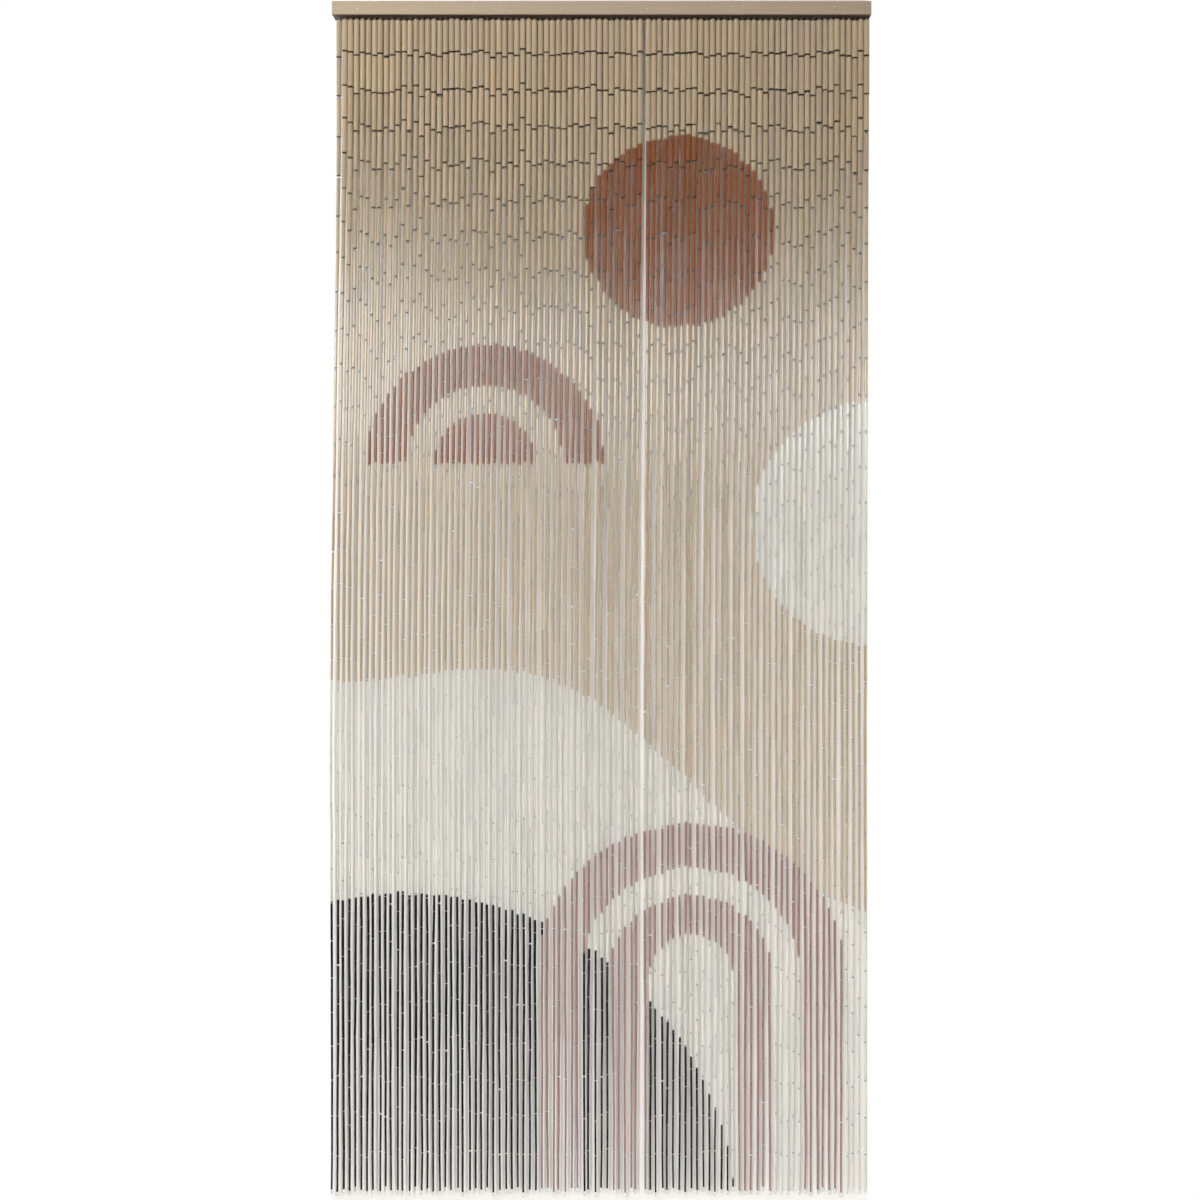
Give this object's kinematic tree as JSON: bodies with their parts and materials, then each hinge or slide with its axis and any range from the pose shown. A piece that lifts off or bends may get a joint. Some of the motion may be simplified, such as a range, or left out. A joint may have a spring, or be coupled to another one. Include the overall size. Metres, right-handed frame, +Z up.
{
  "type": "bamboo door curtain on a wooden head rail",
  "caption": "Door curtain of painted bamboo reed tubes, wired end to end in free-hanging strands under a flat wooden head rail that is fixed to the wall above a doorway.",
  "frame": {"origin": "centre of the head rail's back face, which lies flat on the wall over the doorway", "axes": "+X along the rail across the doorway, +Y out of the rail's back face into the wall, so the viewer stands on the -Y side, +Z up"},
  "size_m": [0.9059, 0.028, 2.0007],
  "materials": {
    "rail_paint": "satin",
    "reed_paint": "matte",
    "wire": "satin"
  },
  "bodies": {
    "root": {"head_rail": "rail_paint", "reed_strands": "reed_paint"}
  },
  "joints": []
}
